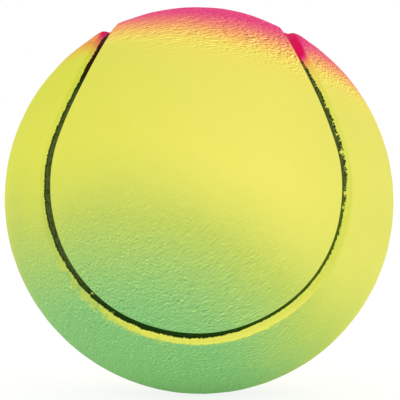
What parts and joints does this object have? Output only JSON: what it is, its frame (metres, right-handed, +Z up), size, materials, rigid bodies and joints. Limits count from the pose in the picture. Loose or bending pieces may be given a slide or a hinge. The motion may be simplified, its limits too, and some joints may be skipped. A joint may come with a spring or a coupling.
{
  "type": "foam ball",
  "caption": "Soft foam play ball with a wrinkled rubbery skin in two interlocking panels and a black line in the seam groove between them.",
  "frame": {"origin": "centre of the ball", "axes": "+Z up as the ball lies in the picture; -Y towards the camera, through the lobe of the front panel; +X to the right"},
  "size_m": [0.0598, 0.06, 0.06],
  "materials": {
    "sponge": "matte open-cell foam",
    "skin": "matte wrinkled foam skin, sprayed pink and orange at the top and green at the bottom",
    "line": "matte black paint"
  },
  "bodies": {
    "root": {"foam_core": "sponge", "skin_panel_front": "skin", "skin_panel_rear": "skin", "seam_line": "line"}
  },
  "joints": []
}
